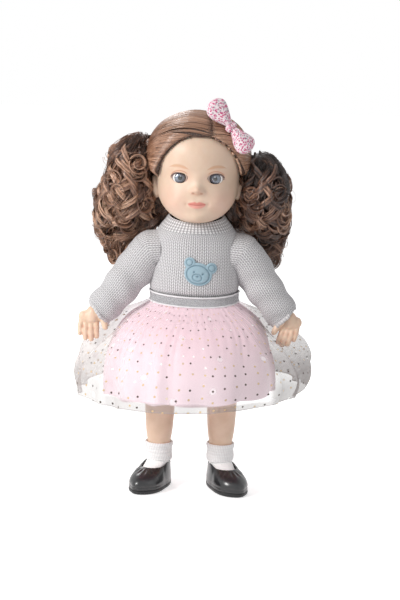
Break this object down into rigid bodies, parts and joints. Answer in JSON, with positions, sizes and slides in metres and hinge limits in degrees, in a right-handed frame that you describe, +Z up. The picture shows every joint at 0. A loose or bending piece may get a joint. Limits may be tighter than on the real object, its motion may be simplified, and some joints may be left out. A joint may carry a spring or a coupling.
{
  "type": "soft doll",
  "caption": "Standing play doll with a stuffed body and vinyl head, arms and legs, curly side bunches, a bow, a knitted sweater, a dotted net skirt, socks and shoes.",
  "frame": {"origin": "centre of the doll on the plane its shoes stand on", "axes": "+Z up; -Y is the way the face looks; +X is the doll's own left"},
  "size_m": [0.2822, 0.2495, 0.4639],
  "materials": {
    "vinyl_skin": "satin",
    "hair": "satin",
    "eye_white": "polished",
    "eye_blue": "polished",
    "eye_clear": "polished",
    "elastic": "matte",
    "bow_print": "matte",
    "clip_steel": "satin",
    "body_cotton": "matte",
    "stuffing": "matte",
    "nylon": "satin",
    "knit": "matte",
    "patch_blue": "matte",
    "lurex_band": "satin",
    "pink_lining": "satin",
    "tulle": "matte",
    "sock_white": "matte",
    "shoe_black": "polished"
  },
  "bodies": {
    "torso": {"torso_cover": "body_cotton", "torso_stuffing": "stuffing", "neck_tie": "nylon", "arm_cord": "elastic", "sweater_body": "knit", "sweater_collar": "knit", "back_tape_loops": "nylon", "back_tape_hooks": "nylon", "bear_patch": "patch_blue", "waistband": "lurex_band", "skirt_lining": "pink_lining", "skirt_tulle": "tulle"},
    "head": {"head_shell": "vinyl_skin", "eye_globe_left": "eye_white", "eye_iris_left": "eye_blue", "eye_lens_left": "eye_clear", "eye_globe_right": "eye_white", "eye_iris_right": "eye_blue", "eye_lens_right": "eye_clear", "hair_cap": "hair", "hair_bunch_left": "hair", "hair_bunch_right": "hair", "hair_tie_left": "elastic", "hair_tie_right": "elastic", "bow_loop_upper": "bow_print", "bow_loop_lower": "bow_print", "bow_knot": "bow_print", "bow_clip": "clip_steel"},
    "arm_left": {"arm_left": "vinyl_skin", "arm_plug_left": "nylon", "sleeve_left": "knit"},
    "arm_right": {"arm_right": "vinyl_skin", "arm_plug_right": "nylon", "sleeve_right": "knit"},
    "leg_left": {"leg_left": "vinyl_skin", "leg_plug_left": "nylon", "sock_left": "sock_white", "sock_cuff_left": "sock_white", "shoe_upper_left": "shoe_black", "shoe_sole_left": "shoe_black"},
    "leg_right": {"leg_right": "vinyl_skin", "leg_plug_right": "nylon", "sock_right": "sock_white", "sock_cuff_right": "sock_white", "shoe_upper_right": "shoe_black", "shoe_sole_right": "shoe_black"},
    "hip_cord_left": {"hip_cord_left": "elastic"},
    "hip_cord_right": {"hip_cord_right": "elastic"}
  },
  "joints": [
    {"name": "head_turn", "type": "hinge", "parent": "torso", "child": "head", "pos_m": [0, 0.004, 0.31], "axis": [0, 0, 1], "range_deg": [-70, 70], "deforming": ["hair_bunch_left", "hair_bunch_right"]},
    {"name": "arm_left_swing", "type": "hinge", "parent": "torso", "child": "arm_left", "pos_m": [0.054, 0, 0.286], "axis": [-1, 0, 0], "range_deg": [-35, 150]},
    {"name": "arm_right_swing", "type": "hinge", "parent": "torso", "child": "arm_right", "pos_m": [-0.054, 0, 0.286], "axis": [-1, 0, 0], "range_deg": [-35, 150]},
    {"name": "leg_left_swing", "type": "hinge", "parent": "torso", "child": "leg_left", "pos_m": [0.037, 0.003, 0.1885], "axis": [-1, 0, 0], "range_deg": [-25, 90], "deforming": ["skirt_tulle", "skirt_lining"]},
    {"name": "leg_right_swing", "type": "hinge", "parent": "torso", "child": "leg_right", "pos_m": [-0.037, 0.003, 0.1885], "axis": [-1, 0, 0], "range_deg": [-25, 90], "deforming": ["skirt_tulle", "skirt_lining"]},
    {"name": "hip_cord_left_twist", "type": "hinge", "parent": "torso", "child": "hip_cord_left", "pos_m": [0.037, 0.003, 0.1885], "axis": [-1, 0, 0], "range_deg": [-12.5, 45]},
    {"name": "hip_cord_right_twist", "type": "hinge", "parent": "torso", "child": "hip_cord_right", "pos_m": [-0.037, 0.003, 0.1885], "axis": [-1, 0, 0], "range_deg": [-12.5, 45]}
  ],
  "couplings": [
    {"joint": "hip_cord_left_twist", "follows": "leg_left_swing", "ratio": 0.5},
    {"joint": "hip_cord_right_twist", "follows": "leg_right_swing", "ratio": 0.5}
  ]
}
